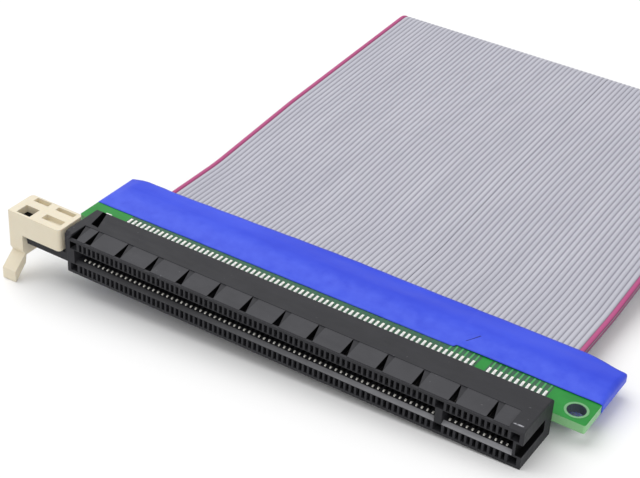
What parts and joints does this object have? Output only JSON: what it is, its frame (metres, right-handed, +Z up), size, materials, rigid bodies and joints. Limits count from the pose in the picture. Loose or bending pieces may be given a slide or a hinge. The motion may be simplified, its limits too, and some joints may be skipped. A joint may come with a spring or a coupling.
{
  "type": "flexible ribbon riser card",
  "caption": "Card-edge slot with a hinged retention latch on a small green board, joined by two layers of flat ribbon cable to a plug-in edge board folded underneath.",
  "frame": {"origin": "front bottom edge of the slot housing, in line with the middle of the contact rows", "axes": "+X along the slot away from the latch, +Y from the slot's mouth towards the ribbon, +Z up out of the housing's top"},
  "size_m": [0.1082, 0.1169, 0.0146],
  "materials": {
    "black_moulding": "fine moulded texture with light scuffs",
    "cream_moulding": "smooth moulded nylon",
    "contact_metal": "tin and gold flash",
    "finger_gold": "gold plated",
    "solder_metal": "tinned",
    "green_board": "solder mask over glass fibre",
    "blue_tape": "smooth film tape",
    "grey_ribbon": "ribbed flexible insulation with a red edge wire"
  },
  "bodies": {
    "riser": {"slot_housing": "black_moulding", "upper_contacts_long": "contact_metal", "upper_contacts_short": "contact_metal", "lower_contacts_long": "contact_metal", "lower_contacts_short": "contact_metal", "slot_board": "green_board", "fixing_hole_ring": "solder_metal", "board_lock_left": "solder_metal", "board_lock_right": "solder_metal", "slot_board_tape": "blue_tape", "edge_board_tape": "blue_tape", "outer_ribbon_wide": "grey_ribbon", "outer_ribbon_narrow": "grey_ribbon", "inner_ribbon_wide": "grey_ribbon", "inner_ribbon_narrow": "grey_ribbon", "edge_board": "green_board", "edge_fingers_upper_long": "finger_gold", "edge_fingers_upper_short": "finger_gold", "edge_fingers_lower_long": "finger_gold", "edge_fingers_lower_short": "finger_gold"},
    "latch": {"retention_latch": "cream_moulding"}
  },
  "joints": [
    {"name": "latch_pivot", "type": "hinge", "parent": "riser", "child": "latch", "pos_m": [-0.0518, 0.005, 0.003], "axis": [0, 0, 1], "range_deg": [-20, 0]}
  ]
}
